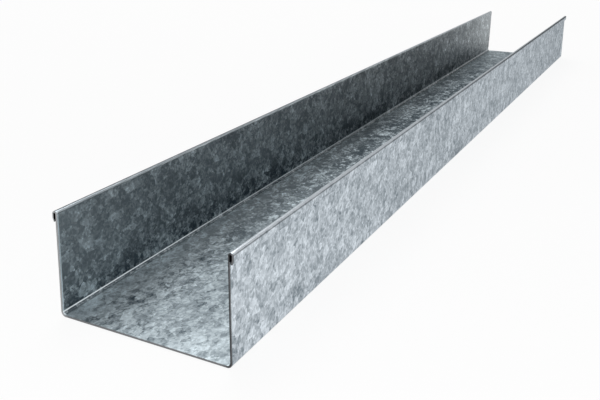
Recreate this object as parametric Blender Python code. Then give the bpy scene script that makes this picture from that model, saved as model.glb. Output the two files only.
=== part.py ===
"""Deflection head track: one roll-formed channel of galvanised steel sheet.

The web lies flat, as it does against the slab once it is turned over. Two deep flanges
stand on it, toed in a little so that they grip the studs, and each ends in an open
hem that is folded outwards, with its lip closing back on the flange.

Units are metres. +X runs along the track, +Y across the web and +Z up the flanges.
The origin is the middle of the web's underside.
"""

import math

import bmesh
import bpy
from mathutils import Vector

# Driving dimensions of the track
LENGTH = 0.830
INSIDE_WIDTH = 0.0938
FLANGE_HEIGHT = 0.0540
SHEET = 0.0010
BEND_INSIDE_RADIUS = 0.0016
TOE_IN = math.radians(0.75)

# Driving dimensions of the hem
HEM_GAP = 0.0008
HEM_DEPTH = 0.0053
HEM_TIP_GAP = 0.0002
HEM_CLOSING_ANGLE = math.radians(20)
HEM_CLOSING_RADIUS = 0.0016

# Rounding of the cut edges, at both ends and along the lips
EDGE_ROUND = 0.0003
EDGE_STEPS = 3
SHARP_ANGLE = math.radians(40)

# Straight pieces of an arc, for each full turn
ARC_STEPS_PER_TURN = 48

# Finish of the zinc coating
ZINC_COLOUR = (0.42, 0.46, 0.49, 1.0)
ZINC_ROUGHNESS = 0.38
ZINC_METALLIC = 0.85


class SheetPath:
    """The middle line of the sheet in the section, which is followed run by run and bend by bend.

    Each station keeps the two points where the section crosses the sheet's faces.
    """

    def __init__(self, start, heading):
        self.point = Vector(start)
        self.heading = heading
        self.stations = []
        self.mark_station()

    def to_the_left(self):
        return Vector((-math.sin(self.heading), math.cos(self.heading)))

    def mark_station(self):
        across = self.to_the_left() * (SHEET / 2)
        self.stations.append((self.point + across, self.point - across))

    def run(self, length):
        self.point += Vector((math.cos(self.heading), math.sin(self.heading))) * length
        self.mark_station()

    def bend(self, angle, inside_radius):
        """Turns left for a positive angle and right for a negative one."""
        side = math.copysign(1, angle)
        radius = side * (inside_radius + SHEET / 2)
        centre = self.point + self.to_the_left() * radius
        steps = max(2, round(abs(angle) / math.tau * ARC_STEPS_PER_TURN))
        for _ in range(steps):
            self.heading += angle / steps
            self.point = centre - self.to_the_left() * radius
            self.mark_station()


def flange_run_length(start_height):
    """Length of the flange's flat, so that the hem's crown comes to FLANGE_HEIGHT."""
    middle_radius = HEM_GAP / 2 + SHEET / 2
    crown_radius = HEM_GAP / 2 + SHEET
    end_height = FLANGE_HEIGHT - crown_radius - math.sin(TOE_IN) * middle_radius
    return (end_height - start_height) / math.cos(TOE_IN)


def lip_run_lengths():
    """Lengths of the lip's two flats, above and below the bend that closes the hem."""
    closing = HEM_GAP - HEM_TIP_GAP
    bend_closing = HEM_CLOSING_RADIUS * (1 - math.cos(HEM_CLOSING_ANGLE))
    lower = (closing - bend_closing) / math.sin(HEM_CLOSING_ANGLE)
    bend_depth = (HEM_CLOSING_RADIUS + SHEET) * math.sin(HEM_CLOSING_ANGLE)
    crown_radius = HEM_GAP / 2 + SHEET
    lower_depth = lower * math.cos(HEM_CLOSING_ANGLE)
    upper = HEM_DEPTH - crown_radius - bend_depth - lower_depth
    return upper, lower


def half_section():
    """Stations from the web's edge, up one flange and over its hem to the tip of the lip."""
    corner = math.pi / 2 + TOE_IN
    setback = BEND_INSIDE_RADIUS * math.tan(corner / 2)
    upper_lip, lower_lip = lip_run_lengths()

    path = SheetPath((INSIDE_WIDTH / 2 - setback, SHEET / 2), heading=0)
    path.bend(corner, BEND_INSIDE_RADIUS)
    path.run(flange_run_length(path.point.y))
    path.bend(-math.pi, HEM_GAP / 2)
    path.run(upper_lip)
    path.bend(-HEM_CLOSING_ANGLE, HEM_CLOSING_RADIUS)
    path.run(lower_lip)
    return path.stations


def full_section():
    """Stations of the whole sheet, from the tip of one lip to the tip of the other."""
    right = half_section()
    mirrored = [tuple(Vector((-p.x, p.y)) for p in pair) for pair in reversed(right)]
    return mirrored + right


def track_mesh():
    """The section as a ribbon of quads across the sheet, extruded along the track."""
    form = bmesh.new()
    rows = [
        [form.verts.new((-LENGTH / 2, p.x, p.y)) for p in pair]
        for pair in full_section()
    ]
    ribbon = [
        form.faces.new((a[0], a[1], b[1], b[0])) for a, b in zip(rows, rows[1:])
    ]
    swept = bmesh.ops.extrude_face_region(form, geom=ribbon, use_keep_orig=True)
    far_end = [e for e in swept["geom"] if isinstance(e, bmesh.types.BMVert)]
    bmesh.ops.translate(form, verts=far_end, vec=(LENGTH, 0, 0))
    bmesh.ops.recalc_face_normals(form, faces=form.faces)

    mesh = bpy.data.meshes.new("head_track")
    form.to_mesh(mesh)
    form.free()
    mesh.shade_smooth()
    mesh.set_sharp_from_angle(angle=SHARP_ANGLE)
    return mesh


def round_cut_edges(track):
    """Rounds the edges that the shear and the slitter leave, and no edge of a bend."""
    rounding = track.modifiers.new("cut_edges", "BEVEL")
    rounding.limit_method = "ANGLE"
    rounding.angle_limit = SHARP_ANGLE
    rounding.width = EDGE_ROUND
    rounding.segments = EDGE_STEPS


def zinc_material():
    zinc = bpy.data.materials.new("galvanised_steel")
    zinc.use_nodes = True
    surface = zinc.node_tree.nodes["Principled BSDF"]
    surface.inputs["Base Color"].default_value = ZINC_COLOUR
    surface.inputs["Roughness"].default_value = ZINC_ROUGHNESS
    surface.inputs["Metallic"].default_value = ZINC_METALLIC
    return zinc


def main():
    for left_over in list(bpy.data.objects):
        bpy.data.objects.remove(left_over)
    track = bpy.data.objects.new("head_track", track_mesh())
    track.data.materials.append(zinc_material())
    round_cut_edges(track)
    bpy.context.scene.collection.objects.link(track)


main()
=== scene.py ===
"""Looks of the deflection head track: the coated sheet with its cut ends, and the studio.

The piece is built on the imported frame, in metres: +X along the track, +Y across the web and
+Z up the flanges. Sizes that a user would change are properties of the scene, listed in the
panel, and each operator builds what it names from them.
"""

import math

import bpy
import numpy as np
from bpy.props import FloatProperty, FloatVectorProperty, PointerProperty
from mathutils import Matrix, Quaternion, Vector


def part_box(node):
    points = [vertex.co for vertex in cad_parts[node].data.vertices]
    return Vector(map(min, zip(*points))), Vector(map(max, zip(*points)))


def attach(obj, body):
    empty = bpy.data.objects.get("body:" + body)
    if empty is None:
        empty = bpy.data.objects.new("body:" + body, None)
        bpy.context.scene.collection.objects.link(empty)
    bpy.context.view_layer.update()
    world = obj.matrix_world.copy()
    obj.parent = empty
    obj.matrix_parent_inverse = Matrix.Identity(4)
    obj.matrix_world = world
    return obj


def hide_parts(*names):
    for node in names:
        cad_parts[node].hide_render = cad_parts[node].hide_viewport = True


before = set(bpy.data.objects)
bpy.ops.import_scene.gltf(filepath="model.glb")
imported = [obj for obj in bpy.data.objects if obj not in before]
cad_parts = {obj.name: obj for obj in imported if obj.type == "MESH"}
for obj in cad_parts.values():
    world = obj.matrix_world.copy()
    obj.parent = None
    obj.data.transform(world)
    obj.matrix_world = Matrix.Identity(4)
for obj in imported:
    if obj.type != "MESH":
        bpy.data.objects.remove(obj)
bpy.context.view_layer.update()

CAD_NODE = "head_track"
HALF_LENGTH, _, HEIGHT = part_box(CAD_NODE)[1]

bl_info = {
    "name": "Deflection head track",
    "version": (1, 0, 0),
    "blender": (4, 5, 0),
    "location": "3D View > Sidebar > Head track",
    "description": "Builds a hemmed deflection head track of galvanised sheet, and its studio",
    "category": "Object",
}

MM = 0.001


# Settings

def a_length(name, description, default):
    return FloatProperty(name=name, description=description, default=default, unit="LENGTH")


def an_angle(name, description, degrees):
    return FloatProperty(
        name=name, description=description, subtype="ANGLE", default=math.radians(degrees))


def a_share(name, description, default):
    return FloatProperty(
        name=name, description=description, subtype="FACTOR", min=0, max=1, default=default)


def a_colour(name, description, rgb):
    return FloatVectorProperty(
        name=name, description=description, default=(*rgb, 1),
        subtype="COLOR", size=4, min=0, max=1)


class SheetSizes(bpy.types.PropertyGroup):
    """The sizes of the rolled sheet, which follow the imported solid."""

    inside_width: a_length("Inside width", "Between the flanges, at the web", 93.8 * MM)
    thickness: a_length("Sheet", "Thickness of the coated sheet", 1.0 * MM)
    bend_radius: a_length(
        "Bend radius", "Inside radius of the bend between web and flange", 1.6 * MM)
    toe_in: an_angle("Toe-in", "How far each flange leans over the web", 0.75)
    hem_gap: a_length("Hem gap", "Width of the slit inside the hem", 0.8 * MM)
    hem_depth: a_length("Hem depth", "From the crown of the hem to the tip of its lip", 5.3 * MM)
    hem_tip_gap: a_length("Hem tip gap", "Between the tip of the lip and the flange", 0.2 * MM)
    hem_closing_angle: an_angle("Hem closing angle", "Turn of the bend that closes the hem", 20)
    hem_closing_radius: a_length(
        "Hem closing radius", "Inside radius of the bend that closes the hem", 1.6 * MM)
    edge_round: a_length("Edge rounding", "Radius that the saw leaves on the cut edges", 0.2 * MM)
    wave: a_length("Wave", "How far the flats dish inwards between the bends", 0.12 * MM)
    ring_pitch: a_length(
        "Ring pitch", "Distance between the rings of the mesh along the track", 5.0 * MM)


class ZincFinish(bpy.types.PropertyGroup):
    """Colours and scale of the zinc coating."""

    # The inside colours are a shaded copy of the outside ones on the same coating: painted shade
    # inside the channel.
    inside_dark: a_colour(
        "Dark inside", "Colour of the darkest crystals inside the channel", (0.029, 0.048, 0.063))
    inside_light: a_colour(
        "Light inside", "Colour of the lightest crystals inside the channel", (0.518, 0.585, 0.619))
    outside_dark: a_colour(
        "Dark outside", "Colour of the darkest crystals on the outer side", (0.227, 0.270, 0.303))
    outside_light: a_colour(
        "Light outside", "Colour of the lightest crystals on the outer side", (0.788, 0.850, 0.903))
    flake: a_length("Flake", "Size of the large crystals of the spangle", 5.0 * MM)
    metallic: a_share("Metallic", "How metallic the coating is", 1.0)
    smoothest: a_share("Smoothest", "Roughness of the glossiest crystals", 0.46)
    roughest: a_share("Roughest", "Roughness of the dullest crystals", 0.54)
    contrast: FloatProperty(
        name="Contrast", description="How much the crystals differ in tone", default=1.0)
    grazing: a_colour(
        "Grazing", "Tint of the coating where it is seen edge on", (0.480, 0.487, 0.492))
    # Painted shade and painted reflection: the colour of the dark lines along the hems.
    hem_shade_colour: a_colour(
        "Grooves", "Colour of the dull lines that the rollers press into the hem",
        (0.045, 0.052, 0.060))
    # Painted highlight: a matt, near-white line along each bend between web and flange.
    fillet_highlight: a_colour(
        "Fillet line", "Colour of the line rubbed white where web and flange meet",
        (0.88, 0.94, 0.97))
    worked: a_share("Bends", "Roughness where the rollers have stretched the coating", 0.28)


class CutEdgeFinish(bpy.types.PropertyGroup):
    """Colours of the bare steel where the sheet was cut: a lit and a shaded copy, for the painted
    light and painted shade on the cut ends.
    """

    # Painted light and shade: the first colour is the cut's lit copy, painted on the left flange,
    # and the second is its shaded copy, painted on the right flange.
    lit_cut: a_colour(
        "Burnished cut", "Colour of the cut where the saw went in", (0.42, 0.43, 0.44))
    shaded_cut: a_colour("Torn cut", "Colour of the cut where the saw came out", (0.045, 0.047, 0.05))


class StudioSettings(bpy.types.PropertyGroup):
    """The camera and the light."""

    eye: FloatVectorProperty(
        name="Camera place", description="Where the camera stands",
        subtype="TRANSLATION", size=3, default=(-0.6714, -0.2044, 0.1913))
    azimuth: an_angle("Azimuth", "Direction that the camera comes from", -61.70)
    elevation: an_angle("Elevation", "How far the camera looks down", 16.06)
    roll: an_angle("Roll", "How far the camera's right side is up", 0.29)
    lens: FloatProperty(
        name="Lens", description="Focal length on a 36 mm sensor", default=47.99)
    shift_x: FloatProperty(
        name="Shift across", description="Camera shift, in widths of the picture", default=0.0475)
    shift_y: FloatProperty(
        name="Shift up", description="Camera shift, in widths of the picture", default=-0.1108)
    surround: FloatProperty(
        name="Surround",
        description="Strength of the light from all round, apart from what is seen or reflected",
        default=0.7)
    unlit: a_share(
        "Unlit side", "Strength of the room's unlit side, to the right of the far end", 0.35)
    key: FloatProperty(
        name="Key lamp", description="Power of the soft lamp over the far left of the track",
        default=39.0, unit="POWER")
    fill: FloatProperty(
        name="Fill lamp",
        description="Power of the small soft lamp near the floor, before the near end",
        default=3.0, unit="POWER")


# The middle line of the sheet

CROWN_TURN_SPEED, CROWN_TURN_EASE = 1.7, 1.5


class MiddleLine:
    """The section's middle line, run by run and bend by bend, from the web's centre to a lip's tip.

    Each station is (y, z, heading, developed length) and three marks from 0 to 1: how much the
    rollers have worked the sheet there, whether its outer face lies inside the fold of the hem,
    and how far its inner face is turned outwards. Flats and bends are kept by where they start
    and stop in developed length.
    """

    def __init__(self, sizes):
        self.half_sheet = sizes.thickness / 2
        self.y, self.z = 0.0, self.half_sheet
        self.heading = 0.0
        self.developed = 0.0
        self.folded = 0.0
        self.outward = 0.0
        self.stations = []
        self.flats = []
        self.bends = []
        self.mark(0.0)

    def mark(self, worked):
        marks = (worked, self.folded, self.outward)
        self.stations.append((self.y, self.z, self.heading, self.developed, *marks))

    def run(self, length, steps, flat=None):
        """A straight stretch. A named flat is kept, because its middle may dish inwards."""
        first = self.developed
        for _ in range(steps):
            self.y += math.cos(self.heading) * length / steps
            self.z += math.sin(self.heading) * length / steps
            self.developed += length / steps
            self.mark(0.0)
        if flat:
            self.flats.append((flat, first, self.developed))

    def bend(self, angle, inside_radius, steps, worked=1.0):
        """Turns into the track for a positive angle, and outwards for a negative one."""
        first = self.developed
        side = math.copysign(1, angle)
        radius = side * (inside_radius + self.half_sheet)
        centre_y = self.y - math.sin(self.heading) * radius
        centre_z = self.z + math.cos(self.heading) * radius
        for step in range(1, steps + 1):
            self.heading += angle / steps
            self.y = centre_y + math.sin(self.heading) * radius
            self.z = centre_z - math.cos(self.heading) * radius
            self.developed += abs(angle * radius) / steps
            share = step / steps
            if self.folded and self.outward < 1.0:
                self.outward = min(1.0, CROWN_TURN_SPEED * share) ** CROWN_TURN_EASE
            self.mark(worked * math.sin(math.pi * share) if share < 1 else 0.0)
        self.bends.append((first, self.developed))


WEB_STEPS = 12
BEND_STEPS = 14
FLANGE_STEPS = 12
CROWN_STEPS = 22
LIP_STEPS = 3
CLOSING_STEPS = 4

# How much the web's bends are worked, when the crown of the hem counts as 1
WEB_BEND_WORKED = 0.35


def lip_lengths(sizes):
    """Lengths of the lip's two flats, above and below the bend that closes the hem."""
    closing = sizes.hem_gap - sizes.hem_tip_gap
    angle = sizes.hem_closing_angle
    radius = sizes.hem_closing_radius
    lower = (closing - radius * (1 - math.cos(angle))) / math.sin(angle)
    crown_radius = sizes.hem_gap / 2 + sizes.thickness
    bend_depth = (radius + sizes.thickness) * math.sin(angle)
    upper = sizes.hem_depth - crown_radius - bend_depth - lower * math.cos(angle)
    return upper, lower


def half_line(sizes):
    """The middle line from the web's centre, over one hem, to the tip of its lip."""
    corner = math.pi / 2 + sizes.toe_in
    setback = sizes.bend_radius * math.tan(corner / 2)
    upper_lip, lower_lip = lip_lengths(sizes)
    middle_radius = sizes.hem_gap / 2 + sizes.thickness / 2
    crown_radius = sizes.hem_gap / 2 + sizes.thickness

    line = MiddleLine(sizes)
    line.run(sizes.inside_width / 2 - setback, WEB_STEPS, "web")
    line.bend(corner, sizes.bend_radius, BEND_STEPS, WEB_BEND_WORKED)
    end_height = HEIGHT - crown_radius - math.sin(sizes.toe_in) * middle_radius
    behind_lip = sizes.hem_depth - crown_radius
    flat = (end_height - line.z) / math.cos(sizes.toe_in) - behind_lip
    line.run(flat, FLANGE_STEPS, "flange")
    line.folded = 1.0
    line.run(behind_lip, LIP_STEPS)
    line.bend(-math.pi, sizes.hem_gap / 2, CROWN_STEPS)
    line.run(upper_lip, LIP_STEPS)
    line.bend(
        -sizes.hem_closing_angle, sizes.hem_closing_radius, CLOSING_STEPS, worked=0.0)
    line.run(lower_lip, LIP_STEPS)
    return line


WEB_DISH = 0.5


def dish(line):
    """For each station, 0 at the bends, 1 in the middle of the flange and less in the web."""
    depths = []
    for station in line.stations:
        developed = station[3]
        depth = 0.0
        for flat, first, last in line.flats:
            if first <= developed <= last:
                if flat == "flange":
                    depth = math.sin(math.pi * (developed - first) / (last - first)) ** 2
                else:
                    depth = WEB_DISH * math.cos(math.pi / 2 * developed / last) ** 2
        depths.append(depth)
    return np.array(depths)


# The sheet's mesh

TIP_STEPS = 6
ROUND_STEPS = 5
SMALLEST_ROUND = 0.02 * MM
SHARP_ANGLE = math.radians(50)

# A station's columns on the right side, where y, the normal's y and the developed length turn over
MIRROR = np.array([-1, 1, -1, 1, 1, -1, 1, 1, 1])

# The lengths of the waves along the flats, and the seeds of their phases
WAVE_LENGTHS = (0.41, 0.23, 0.137, 0.083)
LEFT_WAVE, RIGHT_WAVE = 3, 5

# How far apart the two faces lie in the shaders' space, so that their crystals differ
FACE_APART = 0.4


def full_stations(line):
    """Rows over the whole sheet, from the right lip (-Y) to the left one (+Y).

    Each is the middle point, the inner face's normal, the depth of the dish, the developed
    distance and the marks.
    """
    half = np.array(line.stations)
    depth = dish(line)
    y, z, heading = half.T[:3]
    left = np.column_stack([y, z, -np.sin(heading), np.cos(heading), depth, half[:, 3:]])
    return np.concatenate([left[:0:-1] * MIRROR, left])


def tip_arc(half_sheet, rounding, inset):
    """Points round a lip's cut tip as (out along the sheet, across it), from face to face."""
    radius = max(rounding - inset, SMALLEST_ROUND)
    flat = half_sheet - inset - radius
    points = []
    for step in range(1, TIP_STEPS):
        turn = math.pi * step / TIP_STEPS
        level = math.cos(turn)
        across = flat * math.copysign(min(1, 2 * abs(level)), level)
        points.append((radius * math.sin(turn) - inset, across + radius * level))
    return points


def ring(stations, sizes, inset):
    """One closed ring round the section: the inner face, a tip, the outer face and the other tip.

    Returns the points as rows of (y, z), drawn in by inset from the sheet's surface.
    """
    half_sheet = sizes.thickness / 2
    reach = half_sheet - inset
    middle, normal = stations[:, 0:2], stations[:, 2:4]
    inner = middle + normal * reach
    outer = (middle - normal * reach)[::-1]
    arc = tip_arc(half_sheet, sizes.edge_round, inset)

    def tip(at, side):
        along = np.array([normal[at][1], -normal[at][0]]) * side
        return np.array([
            middle[at] + along * out + normal[at] * across for out, across in arc])

    return np.concatenate([inner, tip(-1, 1), outer, tip(0, -1)[::-1]])


def wave_along(x, seed):
    """A slow wave between 0 and 1 along the track, the same each run."""
    phases = np.random.default_rng(seed).uniform(0, math.tau, len(WAVE_LENGTHS))
    total = sum(
        np.sin(math.tau * x / length + phase) for length, phase in zip(WAVE_LENGTHS, phases))
    return 0.5 + total / (2 * len(WAVE_LENGTHS))


def ring_places(sizes):
    """(x, inset) of each ring: the rounded near edge, the plain length and the rounded far edge."""
    turns = [math.pi / 2 * step / ROUND_STEPS for step in range(ROUND_STEPS + 1)]
    rounded = [
        (sizes.edge_round * (1 - math.cos(turn)), sizes.edge_round * (1 - math.sin(turn)))
        for turn in turns
    ]
    near = [(-HALF_LENGTH + x, inset) for x, inset in rounded]
    far = [(HALF_LENGTH - x, inset) for x, inset in reversed(rounded)]
    count = round(2 * HALF_LENGTH / sizes.ring_pitch)
    plain = np.linspace(near[-1][0], far[0][0], count + 1)[1:-1]
    return near + [(x, 0.0) for x in plain] + far


def track_vertices(stations, sizes):
    """Vertex places ring by ring, with their place on the unrolled sheet and their marks."""
    places = ring_places(sizes)
    count, tip_count = len(stations), TIP_STEPS - 1
    left_tip = np.repeat(stations[-1:], tip_count, axis=0)
    right_tip = np.repeat(stations[:1], tip_count, axis=0)
    around = np.concatenate([stations, left_tip, stations[::-1], right_tip])
    face = np.repeat([1.0, 0.0, -1.0, 0.0], [count, tip_count, count, tip_count])
    y, normal, depth, developed = around[:, 0], around[:, 2:4], around[:, 4], around[:, 5]
    worked, folded, outward = around[:, 6:].T
    marks = {
        "worked": worked,
        "folded": folded * (face < 0),
        "outward": np.where(face > 0, outward, 1.0),
    }

    points, sheet = [], []
    for x, inset in places:
        yz = ring(stations, sizes, inset)
        wave = np.where(y > 0, wave_along(x, LEFT_WAVE), wave_along(x, RIGHT_WAVE))
        swell = wave * depth * sizes.wave
        yz = yz + normal * swell[:, None]
        points.append(np.column_stack([np.full(len(yz), x), yz]))
        sheet.append(np.column_stack([np.full(len(yz), x), developed, face * FACE_APART]))
    return np.concatenate(points), np.concatenate(sheet), marks, len(places)


def track_faces(count, rings):
    """Quads along the track, and the two cut ends between the sheet's faces."""
    around = 2 * count + 2 * (TIP_STEPS - 1)
    step = np.arange(around)
    after = (step + 1) % around
    quads = []
    for r in range(rings - 1):
        low, high = r * around, (r + 1) * around
        quads.append(np.column_stack([low + step, high + step, high + after, low + after]))
    sides = np.concatenate(quads).tolist()

    def end(first, flip):
        outer = count + TIP_STEPS - 1
        faces = []
        for i in range(count - 1):
            a, b = i, i + 1
            c, d = outer + count - 1 - b, outer + count - 1 - a
            faces.append([a, b, c, d])
        faces.append(list(range(count - 1, count + TIP_STEPS)))
        faces.append([*range(outer + count - 1, around), 0])
        return [[first + v for v in (reversed(f) if flip else f)] for f in faces]

    return sides, end(0, False) + end((rings - 1) * around, True)


def track_mesh(line, sizes):
    """The sheet's mesh. Its material slots are 0, the coating, and 1, the cut ends."""
    stations = full_stations(line)
    points, sheet, marks, rings = track_vertices(stations, sizes)
    sides, ends = track_faces(len(stations), rings)
    mesh = bpy.data.meshes.new("head_track_sheet")
    mesh.from_pydata(points.tolist(), [], sides + ends)

    place = mesh.attributes.new("sheet_place", "FLOAT_VECTOR", "POINT")
    place.data.foreach_set("vector", sheet.astype(np.float32).ravel())
    for name, values in marks.items():
        mark = mesh.attributes.new(name, "FLOAT", "POINT")
        mark.data.foreach_set("value", np.tile(values, rings).astype(np.float32))

    slot = np.zeros(len(mesh.polygons), np.int32)
    slot[len(sides):] = 1
    cut = np.tile(marks["folded"] < 0.5, ROUND_STEPS)
    slot[:len(cut)] = cut
    slot[len(sides) - len(cut):len(sides)] = cut
    mesh.polygons.foreach_set("material_index", slot)
    mesh.shade_smooth()
    mesh.set_sharp_from_angle(angle=SHARP_ANGLE)
    mesh.validate()
    return mesh


# Shader building

NODE_STEP, NODE_DROP, NODE_ROWS = 180, 40, 5


class Shade:
    """Adds nodes to a tree in reading order, so that each material is short to write.

    An input is named as its socket is, with _ for a space, or by the socket's number as n0, n1
    and so on. Its value is another node's socket or a plain one.
    """

    def __init__(self, tree):
        self.tree = tree
        self.column = 0

    def node(self, kind, settings=None, **inputs):
        made = self.tree.nodes.new(kind)
        made.location = (NODE_STEP * self.column, -NODE_DROP * (self.column % NODE_ROWS))
        self.column += 1
        for name, value in (settings or {}).items():
            setattr(made, name, value)
        for name, value in inputs.items():
            self.feed(made, name, value)
        return made

    def feed(self, made, name, value):
        key = int(name[1:]) if name[0] == "n" and name[1:].isdigit() else name.replace("_", " ")
        socket = made.inputs[key]
        if isinstance(value, bpy.types.NodeSocket):
            self.tree.links.new(value, socket)
        else:
            socket.default_value = value

    def math(self, operation, first, second=0.0, third=0.0):
        settings = {"operation": operation}
        return self.node("ShaderNodeMath", settings, n0=first, n1=second, n2=third).outputs[0]

    def times(self, first, second):
        return self.math("MULTIPLY", first, second)

    def minus(self, first, second):
        return self.math("SUBTRACT", first, second)

    def rest(self, share):
        return self.minus(1.0, share)

    def larger(self, first, second):
        return self.math("MAXIMUM", first, second)

    def add(self, base, value, share=1.0):
        """The base and this share of the value."""
        return self.math("MULTIPLY_ADD", value, share, base)

    def vector(self, operation, first, second=(0, 0, 0)):
        settings = {"operation": operation}
        return self.node("ShaderNodeVectorMath", settings, n0=first, n1=second).outputs[0]

    def dot(self, first, second):
        settings = {"operation": "DOT_PRODUCT"}
        return self.node("ShaderNodeVectorMath", settings, n0=first, n1=second).outputs["Value"]

    def scaled(self, vector, factor):
        made = self.node("ShaderNodeVectorMath", {"operation": "SCALE"}, n0=vector, Scale=factor)
        return made.outputs[0]

    def noise(self, place, scale, detail=2.0):
        return self.node("ShaderNodeTexNoise", Vector=place, Scale=scale, Detail=detail)

    def cells(self, place, scale, feature="F1"):
        settings = {"feature": feature}
        return self.node("ShaderNodeTexVoronoi", settings, Vector=place, Scale=scale)

    def remap(self, value, low, high, to_low=0.0, to_high=1.0):
        return self.node(
            "ShaderNodeMapRange", {"interpolation_type": "SMOOTHSTEP"},
            Value=value, From_Min=low, From_Max=high, To_Min=to_low, To_Max=to_high).outputs[0]

    def mix_colour(self, factor, first, second):
        made = self.node("ShaderNodeMix", {"data_type": "RGBA"})
        for index, value in ((0, factor), (6, first), (7, second)):
            self.feed(made, f"n{index}", value)
        return made.outputs[2]

    def mix(self, factor, first, second):
        made = self.node("ShaderNodeMix", {"data_type": "FLOAT"})
        for index, value in ((0, factor), (2, first), (3, second)):
            self.feed(made, f"n{index}", value)
        return made.outputs[0]


def new_group(name, inputs, outputs):
    """A shader group with inputs (name, type, default) and outputs (name, type), still empty."""
    tree = bpy.data.node_groups.new(name, "ShaderNodeTree")
    for socket, kind, default in inputs:
        made = tree.interface.new_socket(socket, in_out="INPUT", socket_type=kind)
        if default is not None:
            made.default_value = default
    for socket, kind in outputs:
        tree.interface.new_socket(socket, in_out="OUTPUT", socket_type=kind)
    shade = Shade(tree)
    entry = shade.node("NodeGroupInput")
    return tree, shade, entry


# Flakes of the spangle as (frequency in each flake size, jaggedness, frequency of the jags)
BROAD = (0.45, 0.35, 1.3)
COARSE = (0.95, 0.26, 2.4)
MIDDLE = (1.9, 0.14, 5.0)
FINE = (4.2, 0.07, 10.0)
FLAKE_STRETCH = (0.8, 1.08, 1.0)
TONE_SPREAD, SLOPE_SPREAD = 1.15, 0.5
RIM, RIM_WIDTH, RIM_TURN = 0.35, 0.06, 0.12
WHOLE_SHARE = 0.5
PATCH_MAIN, PATCH_BROAD, PATCH_OTHER, FINE_MAIN = 0.50, 0.18, 0.18, 0.43
GLOSS_MIDDLE, GLOSS_COARSE = 0.6, 0.4
HEIGHT_MIDDLE = 0.5
FLECK_FREQUENCY, FLECK_STRETCH = 1.7, (1.0, 2.2, 1.0)
FLECK_SIZE, FLECK_CHOICE = (0.10, 0.20), (0.89, 1.0)


def spangle_group():
    """Zinc crystals: overlapping flakes of four sizes, each with its own tone, gloss and tilt."""
    tree, shade, entry = new_group(
        "zinc_spangle",
        [("Place", "NodeSocketVector", None), ("Flake", "NodeSocketFloat", 0.005)],
        [("Patch", "NodeSocketFloat"), ("Fine", "NodeSocketFloat"), ("Fleck", "NodeSocketFloat"),
         ("Gloss", "NodeSocketFloat"), ("Height", "NodeSocketFloat")])
    per_flake = shade.math("DIVIDE", 1.0, entry.outputs["Flake"])
    place = shade.scaled(entry.outputs["Place"], per_flake)
    place = shade.vector("MULTIPLY", place, FLAKE_STRETCH)

    def flakes(frequency, jaggedness, jag_frequency, rim=0.0):
        """Cells with jagged borders and a slope of tone across each, and perhaps a lit rim.

        Returns their tone, three random shares for each cell, and the slope.
        """
        drift = shade.noise(place, jag_frequency, detail=1.0).outputs["Color"]
        drift = shade.vector("SUBTRACT", drift, (0.5, 0.5, 0.5))
        at = shade.vector("ADD", place, shade.scaled(drift, jaggedness))
        cells = shade.cells(at, frequency)
        shares = shade.node("ShaderNodeSeparateColor", Color=cells.outputs["Color"]).outputs
        away = shade.vector("SUBTRACT", at, cells.outputs["Position"])
        lean = shade.vector("SUBTRACT", cells.outputs["Color"], (0.5, 0.5, 0.5))
        slope = shade.times(shade.dot(away, lean), frequency)
        tone = shade.times(shade.minus(shares[0], 0.5), TONE_SPREAD)
        tone = shade.add(tone, slope, SLOPE_SPREAD)
        if rim:
            border = shade.cells(at, frequency, "DISTANCE_TO_EDGE").outputs["Distance"]
            lit = shade.remap(border, 0.0, RIM_WIDTH, rim, 0.0)
            tone = shade.add(tone, lit, shade.remap(slope, 0.0, RIM_TURN))
        return tone, shares, slope

    broad_tone = flakes(*BROAD)[0]
    coarse_tone, coarse_shares, coarse_slope = flakes(*COARSE, rim=RIM)
    middle_tone, middle_shares, middle_slope = flakes(*MIDDLE)
    fine_tone = flakes(*FINE)[0]

    whole = shade.math("GREATER_THAN", coarse_shares[2], WHOLE_SHARE)
    patch = shade.times(shade.mix(whole, middle_tone, coarse_tone), PATCH_MAIN)
    patch = shade.add(patch, broad_tone, PATCH_BROAD)
    other = shade.mix(whole, coarse_tone, middle_tone)
    patch = shade.add(patch, other, PATCH_OTHER)
    gloss = shade.times(coarse_shares[1], GLOSS_COARSE)
    gloss = shade.add(gloss, middle_shares[1], GLOSS_MIDDLE)
    height = shade.add(coarse_slope, middle_slope, HEIGHT_MIDDLE)

    flecks = shade.cells(shade.vector("MULTIPLY", place, FLECK_STRETCH), FLECK_FREQUENCY)
    chosen = shade.node("ShaderNodeSeparateColor", Color=flecks.outputs["Color"]).outputs[2]
    fleck = shade.times(
        shade.remap(flecks.outputs["Distance"], *FLECK_SIZE, 1.0, 0.0),
        shade.remap(chosen, *FLECK_CHOICE))

    shade.node(
        "NodeGroupOutput", Patch=patch, Fine=shade.times(fine_tone, FINE_MAIN), Fleck=fleck,
        Gloss=gloss, Height=height)
    return tree


def painted_line_group():
    """A painted line along the track, for the painted highlights and painted dark lines, as a mask
    from 0 to 1.

    The mask is a half at the half width and 0 at twice that.
    """
    tree, shade, entry = new_group(
        "painted_line",
        [("Across", "NodeSocketFloat", 0.0), ("At", "NodeSocketFloat", 0.0),
         ("Half width", "NodeSocketFloat", 0.001)],
        [("Mask", "NodeSocketFloat")])
    off = shade.minus(entry.outputs["Across"], entry.outputs["At"])
    share = shade.math("DIVIDE", shade.math("ABSOLUTE", off), entry.outputs["Half width"])
    shade.node("NodeGroupOutput", Mask=shade.remap(share, 0.0, 2.0, 1.0, 0.0))
    return tree


# Hairline scratches: (direction, stretch) of the two sets, and where and how finely they lie
SCRATCH_SETS = ((0.35, 9.0), (1.1, 7.0))
SCRATCH_FREQUENCY, SCRATCH_WIDTH = 90.0, 0.006
SCRATCHED_FREQUENCY, SCRATCHED = 38.0, (0.62, 0.7)


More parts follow.
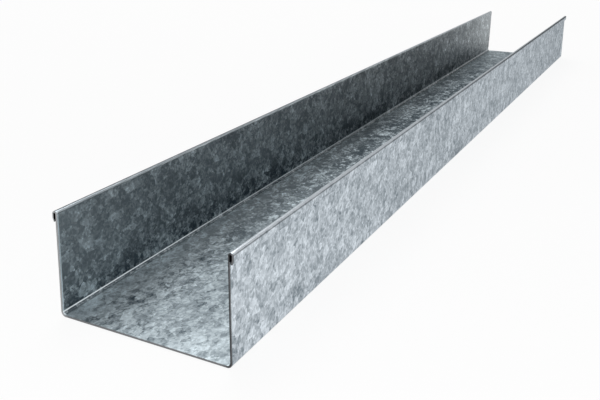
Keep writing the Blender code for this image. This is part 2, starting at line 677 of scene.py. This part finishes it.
def scratches_group():
    """Sparse hairline scratches, as a mask from 0 to 1."""
    tree, shade, entry = new_group(
        "hairline_scratches",
        [("Place", "NodeSocketVector", None), ("Amount", "NodeSocketFloat", 0.5)],
        [("Mask", "NodeSocketFloat")])
    masks = []
    for turn, stretch in SCRATCH_SETS:
        turned = shade.node(
            "ShaderNodeVectorRotate", {"rotation_type": "Z_AXIS"},
            Vector=entry.outputs["Place"], Angle=turn).outputs[0]
        long = shade.vector("MULTIPLY", turned, (1.0, stretch, 1.0))
        lines = shade.noise(long, SCRATCH_FREQUENCY, detail=1.0).outputs[0]
        off = shade.math("ABSOLUTE", shade.minus(lines, 0.5))
        line = shade.remap(off, 0.0, SCRATCH_WIDTH, 1.0, 0.0)
        where = shade.noise(turned, SCRATCHED_FREQUENCY, detail=1.0).outputs[0]
        masks.append(shade.times(line, shade.remap(where, *SCRATCHED)))
    both = shade.larger(*masks)
    shade.node("NodeGroupOutput", Mask=shade.times(both, entry.outputs["Amount"]))
    return tree


def empty_material(name):
    material = bpy.data.materials.new(name)
    material.use_nodes = True
    material.node_tree.nodes.clear()
    return material, Shade(material.node_tree)


def use_group(shade, group, **inputs):
    return shade.node("ShaderNodeGroup", {"node_tree": group}, **inputs)


# The zinc coating
#
# Stretches are (from, to): along the track they are x, across it they are developed distances from
# the web's centre line, and up a flange they are counted from the edge of the web. Pairs marked
# "in, out" are for the inside of the channel and for its outer side.

WEB_BEND, CROWN_BEND = 0, 1
FOOT = (0.0, 30 * MM)
END_STRETCH = (0.0, 90 * MM)
# Painted shade: near black inside the fold of each hem, on the coating and on the cut.
FOLD_SHADE = (0.004, 0.004, 0.004, 1)

FLANGE_GRAIN_TURN = math.radians(24)
FLANGE_GRAIN_ALONG = (1.12, 1.3)    # in, out
FLANGE_GRAIN_ACROSS = (0.9, 0.8)    # in, out

WEB_GAIN = 1.38
WEB_NEAR_GAIN = (0.72, 1.0)         # right side, left side
WEB_NEAR_SIDES = (-10 * MM, 30 * MM)
WEB_GAIN_RISES = (-0.37, -0.12)
WEB_GAIN_FALLS = (0.10, 0.38)
WEB_FAR_LOSS = 0.40
FLANGE_GAIN = (0.94, 1.04)          # in, out
PATCH_GAIN = (1.0, 0.82)            # in, out
FLECK_GAIN = 0.34
CURVE_LIFT, CURVE_DROP = 0.92, 0.02
WEB_CURVE = (-0.38, -0.25)

# Painted shade: the inside starts from a lower tone than the outside.
BASE_TONE = (0.515, 0.57)           # in, out
TOP_TONE = (1.6, 1.15)              # in, out
CLOUD_SCALE, CLOUD_GAIN = 30.0, 0.3
SCRATCH_AMOUNT = 0.5
# Painted highlight on the bends, in step with how much they are worked, stronger further from the
# near end.
BEND_HIGHLIGHT = (0.28, 0.44)            # near end, further along
BEND_HIGHLIGHT_RISES = (-0.40, -0.20)
# Painted light near both ends of the track: a little on the web and the outer side, most high up on
# the inside of a flange.
END_LIGHT_WEB, END_LIGHT_OUTSIDE = 0.02, 0.03
END_LIGHT_FLANGE = (0.18, 0.08)      # high, at the foot
# Painted shade low on each flange, strongest inside the channel next to the web.
FOOT_SHADE = (-0.33, -0.08)          # in, out
# Painted shade on the web further along the track, after a little painted light at the near end.
WEB_TONE = (0.03, -0.20)            # near end, further along
WEB_DARKENS = (-0.36, 0.05)
# Painted highlight along the near cut edge, on the inside of each flange.
EDGE_HIGHLIGHT_GAIN, EDGE_HIGHLIGHT = (1.2, 0.0), (0.95 * MM, 1.2 * MM)
# Painted shade along the near cut edge, on the outer side.
EDGE_SHADE_GAIN, EDGE_SHADE = -0.45, (0.5 * MM, 0.8 * MM)
# Painted highlight along the crown of each hem.
CROWN_HIGHLIGHT, CROWN_HIGHLIGHT_HALF_WIDTH = 0.65, 0.24 * MM
CROWN_HIGHLIGHT_SHARE = (0.70, 0.56)          # near end, far end

# Painted light on the web beside the left bend, strongest at the near end.
LEFT_STRIP = (24 * MM, 45.5 * MM)
LEFT_STRIP_STOPS = (-1 * MM, 1.2 * MM)
LEFT_STRIP_GAIN = (0.52, 0.25)      # near end, middle
LEFT_STRIP_FADES = (-0.40, 0.0)

# Painted light on the right side of the web, at the near end and before the far end.
RIGHT_SIDE_FROM, RIGHT_SIDE_GAIN = -42 * MM, 0.23
RIGHT_SIDE_GROWS = (0.10, 0.36)
RIGHT_SIDE_REACH = (0.0, 45 * MM)   # middle, far end
RIGHT_CORNER = (-44 * MM, -26 * MM)
RIGHT_CORNER_SHARE = 0.3
RIGHT_SIDE_FAR = (0.16, 0.38)
RIGHT_SIDE_FAR_SHARE = 2.0

# Painted light inside the channel and painted shade on the outer side, before the far end.
FAR_LIGHT_AND_SHADE = (0.20, -0.10)            # in, out
FAR_TOP = 50 * MM
FAR_START_WEB = 0.20
FAR_START_FLANGE = (0.25, 0.10)     # at the foot, at the top
FAR_STOP, FAR_SHARE, FAR_SHARE_WEB = 0.39, 0.92, 0.65

FADED = 0.55
FADES = (-0.50, 0.30)

# The painted highlight along the web's bends: where it lies on the bend, its width, how much of it
# is left at the far end, and how matt it is.
FILLET_SHARE = 0.90
FILLET_HALF_WIDTH = (0.38 * MM, 0.68 * MM)      # near end, far end
FILLET_FADED, FILLET_MATT = 0.50, 0.9
# Painted dark lines of shade and reflection along the hems: one under each crown, and two more on
# the left crown.
HEM_SHADE_SHARE = (0.89, 0.80)                 # near end, far end
HEM_SHADE_HALF_WIDTH = (0.20 * MM, 0.58 * MM)  # near end, far end
HEM_SHADE_DEPTH = (0.72, 1.0)                  # near end, far end
TOP_SHADE_SHARE, TOP_SHADE_HALF_WIDTH, TOP_SHADE_DEPTH = 0.60, 0.48 * MM, 1.8
LOW_SHADE_SHARE, LOW_SHADE_HALF_WIDTH = 0.06, 0.18 * MM
LOW_SHADE_DEPTH = (0.5, 0.1)                   # near end, far end

TILT_STRENGTH, TILT_DISTANCE = 0.05, 0.2 * MM


def attribute(shade, name, output="Fac"):
    return shade.node("ShaderNodeAttribute", {"attribute_name": name}).outputs[output]


class CoatedSheet:
    """Places and masks on the coated sheet, from which its tone, colour and gloss are made."""

    def __init__(self, shade, line):
        self.shade = shade
        self.line = line
        self.painted_line = painted_line_group()
        self.place = attribute(shade, "sheet_place", "Vector")
        self.worked = attribute(shade, "worked")
        self.folded = attribute(shade, "folded")
        self.outward = attribute(shade, "outward")
        separate = shade.node("ShaderNodeSeparateXYZ", Vector=self.place)
        self.along, self.across, side = separate.outputs
        self.inner_face = shade.math("GREATER_THAN", side, 0.0)

        self.from_centre = shade.math("ABSOLUTE", self.across)
        web_edge = line.bends[WEB_BEND][0]
        self.up_flange = shade.minus(self.from_centre, web_edge)
        self.on_flange = shade.math("GREATER_THAN", self.up_flange, 0.0)
        self.on_web = shade.rest(self.on_flange)
        self.foot = shade.times(shade.remap(self.up_flange, *FOOT, 1.0, 0.0), self.on_flange)

        self.from_near_end = shade.add(HALF_LENGTH, self.along)
        from_an_end = shade.minus(HALF_LENGTH, shade.math("ABSOLUTE", self.along))
        self.by_an_end = shade.remap(from_an_end, *END_STRETCH, 1.0, 0.0)
        self.to_far_end = shade.remap(self.along, -HALF_LENGTH, HALF_LENGTH)
        self.fading = shade.math("POWER", shade.rest(self.to_far_end), 2.0)

    def rolled(self, bend, share, half_width, across=None):
        """A line at this share of a bend (0 its foot, 1 its end) on the face that shows.

        It runs along both sides of the track, or along the left one where across is the
        signed distance.
        """
        across = self.from_centre if across is None else across
        first, last = self.line.bends[bend]
        at = self.shade.add(first, share, last - first)
        made = use_group(
            self.shade, self.painted_line, Across=across, At=at, Half_width=half_width)
        return self.shade.times(made.outputs["Mask"], self.inner_face)

    def by_length(self, near_and_far):
        """A value that goes from the first at the near end to the second at the far end."""
        return self.shade.mix(self.to_far_end, *near_and_far)

    def by_face(self, inside_and_outside):
        return self.shade.mix(self.outward, *inside_and_outside)


def zinc_crystals(sheet, finish):
    """The spangle, which is drawn out and turned on the flanges."""
    shade = sheet.shade
    side = shade.times(shade.math("SIGN", sheet.across), sheet.on_flange)
    turned = shade.node(
        "ShaderNodeVectorRotate", {"rotation_type": "Z_AXIS"},
        Vector=sheet.place, Angle=shade.times(side, FLANGE_GRAIN_TURN)).outputs[0]
    stretch = shade.node(
        "ShaderNodeCombineXYZ",
        X=shade.mix(sheet.on_flange, 1.0, sheet.by_face(FLANGE_GRAIN_ALONG)),
        Y=shade.mix(sheet.on_flange, 1.0, sheet.by_face(FLANGE_GRAIN_ACROSS)), Z=1.0).outputs[0]
    place = shade.vector("MULTIPLY", turned, stretch)
    return use_group(shade, spangle_group(), Place=place, Flake=finish.flake).outputs


def crystal_tone(sheet, crystals, contrast):
    """How much lighter or darker than the rest each crystal is, with a few bright flecks."""
    shade = sheet.shade
    near_gain = shade.remap(sheet.across, *WEB_NEAR_SIDES, *WEB_NEAR_GAIN)
    web_gain = shade.mix(shade.remap(sheet.along, *WEB_GAIN_RISES), near_gain, WEB_GAIN)
    loss = shade.remap(sheet.along, *WEB_GAIN_FALLS, 0.0, WEB_FAR_LOSS)
    web_gain = shade.minus(web_gain, loss)
    gain = shade.mix(sheet.on_flange, web_gain, sheet.by_face(FLANGE_GAIN))

    tone = shade.add(crystals["Fine"], crystals["Patch"], sheet.by_face(PATCH_GAIN))
    tone = shade.times(tone, shade.times(gain, contrast))
    tone = shade.add(tone, crystals["Fleck"], FLECK_GAIN)

    curved = shade.times(tone, shade.add(CURVE_LIFT, tone))
    curved = shade.minus(curved, CURVE_DROP)
    where = shade.larger(sheet.on_flange, shade.remap(sheet.along, *WEB_CURVE))
    where = shade.times(where, shade.rest(sheet.outward))
    return shade.mix(where, tone, curved)


def left_strip(sheet):
    """Mask of the painted light on the strip of the web beside the left bend."""
    shade = sheet.shade
    strip = shade.remap(sheet.across, *LEFT_STRIP)
    return shade.times(strip, shade.remap(sheet.up_flange, *LEFT_STRIP_STOPS, 1.0, 0.0))


def right_side(sheet):
    """Mask of the painted light on the right side of the web, at the near end and before the far
    one.
    """
    shade = sheet.shade
    reach = shade.remap(sheet.along, *RIGHT_SIDE_GROWS, *RIGHT_SIDE_REACH)
    corner = shade.remap(sheet.across, *RIGHT_CORNER, RIGHT_CORNER_SHARE, 1.0)
    side = shade.remap(sheet.across, RIGHT_SIDE_FROM, reach, 1.0, 0.0)
    side = shade.times(side, shade.times(corner, sheet.on_web))
    far = shade.remap(sheet.along, *RIGHT_SIDE_FAR, 0.0, RIGHT_SIDE_FAR_SHARE)
    return shade.times(side, shade.larger(sheet.fading, far))


def before_far_end(sheet):
    """Mask of the stretch before the far end that gets painted light inside and painted shade
    outside; it starts sooner at the top of a flange.
    """
    shade = sheet.shade
    start = shade.remap(sheet.up_flange, 0.0, FAR_TOP, *FAR_START_FLANGE)
    start = shade.mix(sheet.on_flange, FAR_START_WEB, start)
    stretch = shade.remap(sheet.along, start, FAR_STOP, 0.0, FAR_SHARE)
    return shade.times(stretch, shade.mix(sheet.on_flange, FAR_SHARE_WEB, 1.0))


def tone_changes(sheet):
    """What lightens or darkens the coating, as pairs of a mask and how much it adds there. Cloud
    and hairlines are the coating's own; the rest are painted light, painted shade and painted
    highlights.
    """
    shade, along = sheet.shade, sheet.along
    cloud = shade.noise(sheet.place, CLOUD_SCALE).outputs[0]
    hairlines = use_group(shade, scratches_group(), Place=sheet.place, Amount=SCRATCH_AMOUNT)
    # Painted light near the ends of the track.
    end_light = shade.mix(sheet.on_flange, END_LIGHT_WEB, shade.mix(sheet.foot, *END_LIGHT_FLANGE))
    end_light = shade.mix(sheet.outward, end_light, END_LIGHT_OUTSIDE)
    edge_highlight = shade.times(shade.remap(sheet.from_near_end, *EDGE_HIGHLIGHT, 1.0, 0.0), sheet.on_flange)
    edge_shade = shade.times(shade.remap(sheet.from_near_end, *EDGE_SHADE, 1.0, 0.0), sheet.outward)
    # Painted highlight along the crown of each hem.
    crown = sheet.rolled(CROWN_BEND, sheet.by_length(CROWN_HIGHLIGHT_SHARE), CROWN_HIGHLIGHT_HALF_WIDTH)
    return [
        (shade.minus(cloud, 0.5), CLOUD_GAIN),
        (sheet.worked, shade.remap(along, *BEND_HIGHLIGHT_RISES, *BEND_HIGHLIGHT)),
        (sheet.by_an_end, end_light),
        (sheet.foot, sheet.by_face(FOOT_SHADE)),
        (sheet.on_web, shade.remap(along, *WEB_DARKENS, *WEB_TONE)),
        (hairlines.outputs["Mask"], 1.0),
        (left_strip(sheet), shade.remap(along, *LEFT_STRIP_FADES, *LEFT_STRIP_GAIN)),
        (right_side(sheet), RIGHT_SIDE_GAIN),
        (before_far_end(sheet), sheet.by_face(FAR_LIGHT_AND_SHADE)),
        (edge_highlight, sheet.by_face(EDGE_HIGHLIGHT_GAIN)),
        (edge_shade, EDGE_SHADE_GAIN),
        (crown, CROWN_HIGHLIGHT),
    ]


def coating_colour(sheet, tone, finish):
    """From the dark to the light crystals. The inside of the flanges is greyer further along."""
    shade = sheet.shade

    def crystals_between(dark, light):
        made = shade.mix_colour(tone, tuple(dark), tuple(light))
        made.node.clamp_factor = False
        return made

    weathered = shade.mix(sheet.on_flange, 1.0, shade.remap(sheet.along, *FADES, 1.0, FADED))
    inside = shade.node(
        "ShaderNodeHueSaturation", Saturation=weathered,
        Color=crystals_between(finish.inside_dark, finish.inside_light)).outputs[0]
    outside = crystals_between(finish.outside_dark, finish.outside_light)
    return shade.mix_colour(sheet.outward, inside, outside)


def hem_shade_lines(sheet):
    """Mask of the painted dark lines along the hems: painted shade and painted reflection."""
    shade = sheet.shade
    hem = sheet.rolled(
        CROWN_BEND, sheet.by_length(HEM_SHADE_SHARE), sheet.by_length(HEM_SHADE_HALF_WIDTH))
    top = sheet.rolled(CROWN_BEND, TOP_SHADE_SHARE, TOP_SHADE_HALF_WIDTH, sheet.across)
    top = shade.math("MINIMUM", shade.times(top, TOP_SHADE_DEPTH), 1.0)
    low = sheet.rolled(CROWN_BEND, LOW_SHADE_SHARE, LOW_SHADE_HALF_WIDTH, sheet.across)
    dark_lines = shade.times(hem, sheet.by_length(HEM_SHADE_DEPTH))
    dark_lines = shade.larger(dark_lines, shade.times(top, sheet.fading))
    return shade.larger(dark_lines, shade.times(low, sheet.by_length(LOW_SHADE_DEPTH)))


def zinc_material(finish, line):
    material, shade = empty_material("galvanised_zinc")
    sheet = CoatedSheet(shade, line)
    crystals = zinc_crystals(sheet, finish)

    tone = crystal_tone(sheet, crystals, finish.contrast)
    tone = shade.add(tone, sheet.by_face(BASE_TONE))
    for mask, gain in tone_changes(sheet):
        tone = shade.add(tone, mask, gain)
    tone = shade.node(
        "ShaderNodeClamp", Value=tone, Min=0.0, Max=sheet.by_face(TOP_TONE)).outputs[0]

    # Painted highlight along both bends between web and flange, fading towards the far end.
    fillet_highlight = sheet.rolled(WEB_BEND, FILLET_SHARE, sheet.by_length(FILLET_HALF_WIDTH))
    fillet_highlight_left = shade.add(FILLET_FADED, sheet.fading, 1 - FILLET_FADED)
    fillet_highlight = shade.times(fillet_highlight, fillet_highlight_left)
    colour = coating_colour(sheet, tone, finish)
    # Painted shade and reflection: the dark lines along the hems.
    colour = shade.mix_colour(hem_shade_lines(sheet), colour, tuple(finish.hem_shade_colour))
    colour = shade.mix_colour(fillet_highlight, colour, tuple(finish.fillet_highlight))
    # Painted shade inside the fold of the hem.
    colour = shade.mix_colour(sheet.folded, colour, FOLD_SHADE)

    shiny = shade.rest(shade.times(fillet_highlight, FILLET_MATT))
    roughness = shade.mix(crystals["Gloss"], finish.roughest, finish.smoothest)
    roughness = shade.mix(sheet.worked, roughness, finish.worked)
    roughness = shade.mix(sheet.folded, roughness, 1.0)
    tilt = shade.node(
        "ShaderNodeBump", Height=crystals["Height"],
        Strength=TILT_STRENGTH, Distance=TILT_DISTANCE)

    surface = shade.node(
        "ShaderNodeBsdfPrincipled", Base_Color=colour, Roughness=roughness,
        Metallic=shade.times(shiny, finish.metallic), Normal=tilt.outputs[0])
    surface.inputs["Specular Tint"].default_value = finish.grazing
    shade.feed(shade.node("ShaderNodeOutputMaterial"), "Surface", surface.outputs[0])
    return material


# The cut ends

GRAIN_SCALE, GRAIN_GAIN = 1400.0, 0.25
GRAIN_SPREAD, CUT_ROUGHNESS = (0.2, 0.8), (0.4, 0.6)
# Painted light on the cut rises from the right flange to the web and again to the left flange; the
# cut is also lighter where it turns round a hem.
RIGHT_TO_WEB = (-48 * MM, -42 * MM)
WEB_TO_LEFT = (42 * MM, 47 * MM)
WEB_CUT_LIGHT, LEFT_CUT_LIGHT, HEM_CUT_LIGHTER = 0.34, 0.30, 0.24
HEM_TURNED, HEM_CLOSED = (0.96, 1.0), (0.85, 1.0)


def cut_material(finish):
    """The bare cut, with painted shade on the right flange, painted light on the web and the left
    flange, grain all over, and painted shade where it lies in the fold of a hem.
    """
    material, shade = empty_material("cut_steel")
    place = shade.node("ShaderNodeTexCoord").outputs["Object"]
    grain = shade.noise(place, GRAIN_SCALE, detail=3.0).outputs[0]
    across = shade.node("ShaderNodeSeparateXYZ", Vector=place).outputs[1]
    folded, outward = attribute(shade, "folded"), attribute(shade, "outward")
    # Painted light across the cut, from painted shade on the right flange to painted light on the
    # left one, with grain added.
    lit_cut_and_grain = shade.times(shade.remap(across, *RIGHT_TO_WEB), WEB_CUT_LIGHT)
    for mask, gain in (
            (shade.remap(across, *WEB_TO_LEFT), LEFT_CUT_LIGHT),
            (shade.remap(outward, *HEM_TURNED), HEM_CUT_LIGHTER),
            (shade.minus(grain, 0.5), GRAIN_GAIN)):
        lit_cut_and_grain = shade.add(lit_cut_and_grain, mask, gain)
    colour = shade.mix_colour(lit_cut_and_grain, tuple(finish.shaded_cut), tuple(finish.lit_cut))
    # Painted shade where the cut lies in the fold of a hem.
    colour = shade.mix_colour(shade.remap(folded, *HEM_CLOSED), colour, FOLD_SHADE)
    surface = shade.node(
        "ShaderNodeBsdfPrincipled", Metallic=1.0, Base_Color=colour,
        Roughness=shade.remap(grain, *GRAIN_SPREAD, *CUT_ROUGHNESS))
    shade.feed(shade.node("ShaderNodeOutputMaterial"), "Surface", surface.outputs[0])
    return material


# Studio

WHITE = (1.0, 1.0, 1.0, 1.0)
FLOOR_GREY = (0.9, 0.9, 0.9, 1.0)
FLOOR_GLOW = 0.88
FLOOR_DROP = 0.3 * MM
FLOOR_RADIUS = 9.0

# The unlit stretch of the room: its middle, its edges round the middle, and its foot and top
UNLIT_AZIMUTH = math.radians(-25)
UNLIT_ROUND = (math.radians(60), math.radians(30))
UNLIT_FOOT = (math.radians(12), math.radians(24))
UNLIT_TOP = (math.radians(36), math.radians(48))

KEY_AZIMUTH, KEY_ELEVATION, KEY_DISTANCE = math.radians(35), math.radians(57), 4.0
KEY_AIM, KEY_SIZE = (0, 0, 0), (2.1, 1.55)
FILL_PLACE, FILL_AIM, FILL_SIZE = (-0.90, -0.30, 0.10), (-0.38, 0, 0.03), (0.3, 0.15)

SENSOR_WIDTH = 36
NEAREST_SEEN = 0.01


def seen_directly(shade):
    """1 where the ray comes from the camera, a reflection or glass, and 0 where it only lights."""
    path = shade.node("ShaderNodeLightPath")
    seen = shade.larger(path.outputs["Is Camera Ray"], path.outputs["Is Glossy Ray"])
    return shade.larger(seen, path.outputs["Is Transmission Ray"])


def towards(azimuth, elevation):
    """The direction with this elevation and azimuth, which is 0 at the track's far end."""
    flat = math.cos(elevation)
    return Vector((math.cos(azimuth) * flat, math.sin(azimuth) * flat, math.sin(elevation)))


def set_world(studio):
    """An even white surround, with one unlit stretch between the backdrop and the ceiling."""
    world = bpy.data.worlds.new("studio")
    bpy.context.scene.world = world
    world.use_nodes = True
    world.node_tree.nodes.clear()
    shade = Shade(world.node_tree)
    direction = shade.node("ShaderNodeTexCoord").outputs["Generated"]
    upwards = shade.node("ShaderNodeSeparateXYZ", Vector=direction).outputs[2]
    flat = shade.vector("NORMALIZE", shade.vector("MULTIPLY", direction, (1, 1, 0)))
    facing = shade.dot(flat, tuple(towards(UNLIT_AZIMUTH, 0)))
    above = shade.remap(upwards, *(math.sin(angle) for angle in UNLIT_FOOT))
    below = shade.remap(upwards, *(math.sin(angle) for angle in UNLIT_TOP), 1.0, 0.0)
    round_there = shade.remap(facing, *(math.cos(angle) for angle in UNLIT_ROUND))
    unlit = shade.times(shade.times(above, below), round_there)
    colour = shade.mix_colour(unlit, WHITE, (studio.unlit, studio.unlit, studio.unlit, 1))
    level = shade.mix(seen_directly(shade), studio.surround, 1.0)
    background = shade.node("ShaderNodeBackground", Color=colour, Strength=level)
    shade.feed(shade.node("ShaderNodeOutputWorld"), "Surface", background.outputs[0])


def floor_material():
    """Matt, and glowing towards the camera, so that it shows white and keeps the shadow."""
    material, shade = empty_material("studio_floor")
    matte = shade.node("ShaderNodeBsdfDiffuse", Color=FLOOR_GREY)
    glow = shade.node("ShaderNodeEmission", Color=WHITE, Strength=1.0)
    share = shade.times(seen_directly(shade), FLOOR_GLOW)
    both = shade.node("ShaderNodeMixShader", n0=share, n1=matte.outputs[0], n2=glow.outputs[0])
    shade.feed(shade.node("ShaderNodeOutputMaterial"), "Surface", both.outputs[0])
    return material


def make_floor():
    corners = [
        (x * FLOOR_RADIUS, y * FLOOR_RADIUS, -FLOOR_DROP)
        for x, y in ((-1, -1), (1, -1), (1, 1), (-1, 1))
    ]
    mesh = bpy.data.meshes.new("floor")
    mesh.from_pydata(corners, [], [(0, 1, 2, 3)])
    floor = bpy.data.objects.new("floor", mesh)
    floor.data.materials.append(floor_material())
    bpy.context.scene.collection.objects.link(floor)


def area_lamp(name, place, aim, size, power):
    """A soft box at this place, which faces the aim."""
    data = bpy.data.lights.new(name, "AREA")
    data.shape = "RECTANGLE"
    data.size, data.size_y = size
    data.energy = power
    lamp = bpy.data.objects.new(name, data)
    lamp.location = place
    lamp.rotation_euler = (Vector(aim) - Vector(place)).to_track_quat("-Z", "Y").to_euler()
    bpy.context.scene.collection.objects.link(lamp)


def make_camera(studio):
    data = bpy.data.cameras.new("camera")
    data.sensor_width = SENSOR_WIDTH
    data.lens = studio.lens
    data.shift_x, data.shift_y = studio.shift_x, studio.shift_y
    data.clip_start = NEAREST_SEEN
    camera = bpy.data.objects.new("camera", data)
    flat = math.cos(studio.elevation)
    back = Vector((
        math.sin(studio.azimuth) * flat, -math.cos(studio.azimuth) * flat,
        math.sin(studio.elevation)))
    camera.location = studio.eye
    level = (-back).to_track_quat("-Z", "Y")
    camera.rotation_euler = (level @ Quaternion((0, 0, 1), studio.roll)).to_euler()
    bpy.context.scene.collection.objects.link(camera)
    bpy.context.scene.camera = camera


# Operators

class HEADTRACK_OT_sheet(bpy.types.Operator):
    """Builds the rolled sheet with its hems, zinc coating and cut edges"""

    bl_idname = "headtrack.sheet"
    bl_label = "Build the sheet"

    def execute(self, context):
        scene = context.scene
        line = half_line(scene.headtrack_sizes)
        track = bpy.data.objects.new("track_sheet", track_mesh(line, scene.headtrack_sizes))
        track.data.materials.append(zinc_material(scene.headtrack_zinc, line))
        track.data.materials.append(cut_material(scene.headtrack_edge))
        scene.collection.objects.link(track)
        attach(track, "root")
        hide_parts(CAD_NODE)
        return {"FINISHED"}


class HEADTRACK_OT_studio(bpy.types.Operator):
    """Sets up the floor, the light and the camera"""

    bl_idname = "headtrack.studio"
    bl_label = "Set up the studio"

    def execute(self, context):
        studio = context.scene.headtrack_studio
        set_world(studio)
        make_floor()
        key_place = towards(KEY_AZIMUTH, KEY_ELEVATION) * KEY_DISTANCE
        area_lamp("key", key_place, KEY_AIM, KEY_SIZE, studio.key)
        area_lamp("fill", FILL_PLACE, FILL_AIM, FILL_SIZE, studio.fill)
        make_camera(studio)
        context.scene.view_settings.view_transform = "Standard"
        return {"FINISHED"}


class HEADTRACK_PT_panel(bpy.types.Panel):
    """Sizes, finishes and the two build steps"""

    bl_label = "Head track"
    bl_space_type = "VIEW_3D"
    bl_region_type = "UI"
    bl_category = "Head track"

    def draw(self, context):
        scene = context.scene
        for title, group in (
                ("Sheet", scene.headtrack_sizes), ("Zinc", scene.headtrack_zinc),
                ("Cut edges", scene.headtrack_edge), ("Studio", scene.headtrack_studio)):
            box = self.layout.box()
            box.label(text=title)
            for name in group.__annotations__:
                box.prop(group, name)
        self.layout.operator(HEADTRACK_OT_sheet.bl_idname)
        self.layout.operator(HEADTRACK_OT_studio.bl_idname)


SETTINGS = {
    "headtrack_sizes": SheetSizes,
    "headtrack_zinc": ZincFinish,
    "headtrack_edge": CutEdgeFinish,
    "headtrack_studio": StudioSettings,
}
CLASSES = (*SETTINGS.values(), HEADTRACK_OT_sheet, HEADTRACK_OT_studio, HEADTRACK_PT_panel)


def register():
    for cls in CLASSES:
        bpy.utils.register_class(cls)
    for name, group in SETTINGS.items():
        setattr(bpy.types.Scene, name, PointerProperty(type=group))


def unregister():
    for name in SETTINGS:
        delattr(bpy.types.Scene, name)
    for cls in reversed(CLASSES):
        bpy.utils.unregister_class(cls)


def main():
    register()
    bpy.ops.headtrack.sheet()
    bpy.ops.headtrack.studio()


if __name__ == "__main__":
    main()
